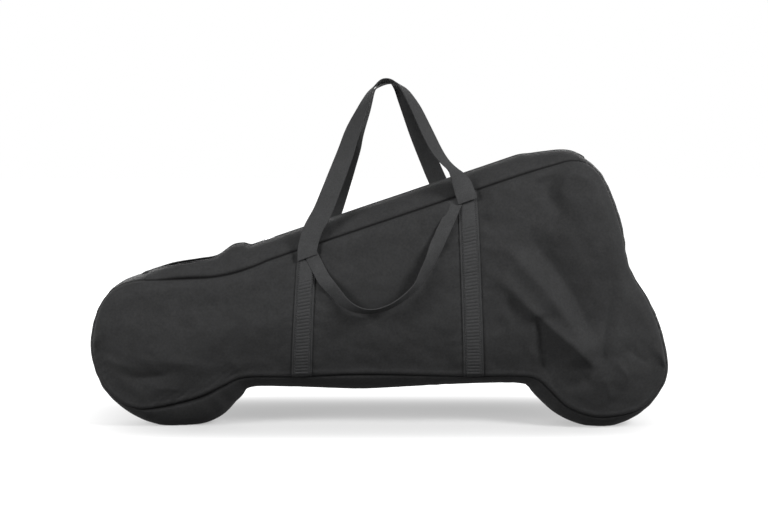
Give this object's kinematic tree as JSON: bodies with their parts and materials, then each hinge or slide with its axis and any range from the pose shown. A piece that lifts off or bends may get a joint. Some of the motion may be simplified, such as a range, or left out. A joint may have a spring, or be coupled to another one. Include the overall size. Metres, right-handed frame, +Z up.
{
  "type": "e-scooter carry bag",
  "caption": "Soft carry bag shaped for a folded e-scooter: low and tall lobed ends, zip along a sloping top, two standing webbing carry handles and two drooping short handles.",
  "frame": {"origin": "on the floor under the middle of the bag, midway along its length and its depth", "axes": "+X from the low end to the tall end, +Y from the front panel to the rear panel, +Z up"},
  "size_m": [1.1488, 0.2868, 0.6887],
  "materials": {
    "bag_cloth": "coated woven polyester, matt, dark grey",
    "webbing": "ribbed woven webbing, dark grey",
    "tape": "fine woven tape, near black",
    "coil": "nylon zip coil, near black",
    "slider_metal": "plated, slightly worn"
  },
  "bodies": {
    "bag": {"base_gusset": "bag_cloth", "front_panel": "bag_cloth", "rear_panel": "bag_cloth", "top_gusset_front": "bag_cloth", "top_gusset_rear": "bag_cloth", "zip_tape_front": "tape", "zip_tape_rear": "tape", "zip_coil_front": "coil", "zip_coil_rear": "coil", "zip_end_tab_low": "bag_cloth", "zip_end_tab_tall": "bag_cloth", "seam_binding_front": "tape", "seam_binding_rear": "tape", "webbing_front_low": "webbing", "webbing_front_tall": "webbing", "webbing_rear_low": "webbing", "webbing_rear_tall": "webbing", "short_handle_tab_front_low": "webbing", "short_handle_tab_front_tall": "webbing", "short_handle_tab_rear_low": "webbing", "short_handle_tab_rear_tall": "webbing"},
    "slider": {"zip_slider": "slider_metal", "slider_pin": "slider_metal"},
    "puller": {"zip_puller": "slider_metal"},
    "long_front": {"long_handle_front": "webbing"},
    "long_rear": {"long_handle_rear": "webbing"},
    "short_front": {"short_handle_front": "webbing"},
    "short_rear": {"short_handle_rear": "webbing"}
  },
  "joints": [
    {"name": "zip_slide", "type": "slide", "parent": "bag", "child": "slider", "axis": [0.9472, 0, 0.3206], "range_m": [0, 0.5]},
    {"name": "puller_hinge", "type": "hinge", "parent": "slider", "child": "puller", "pos_m": [-0.2318, 0, 0.36708], "axis": [0, -1, 0], "range_deg": [0, 150]},
    {"name": "long_front_swing", "type": "hinge", "parent": "bag", "child": "long_front", "pos_m": [0.015, -0.09141, 0.39639], "axis": [0.943, 0, 0.3329], "range_deg": [0, 150]},
    {"name": "long_rear_swing", "type": "hinge", "parent": "bag", "child": "long_rear", "pos_m": [0.0075, 0.09141, 0.39385], "axis": [-0.9424, 0, -0.3346], "range_deg": [0, 150]},
    {"name": "short_front_swing", "type": "hinge", "parent": "bag", "child": "short_front", "pos_m": [0.005, -0.10955, 0.34251], "axis": [0.9414, 0, 0.3374], "range_deg": [-150, 0]},
    {"name": "short_rear_swing", "type": "hinge", "parent": "bag", "child": "short_rear", "pos_m": [-0.0025, 0.10954, 0.33997], "axis": [-0.9401, 0, -0.3408], "range_deg": [-150, 0]}
  ]
}
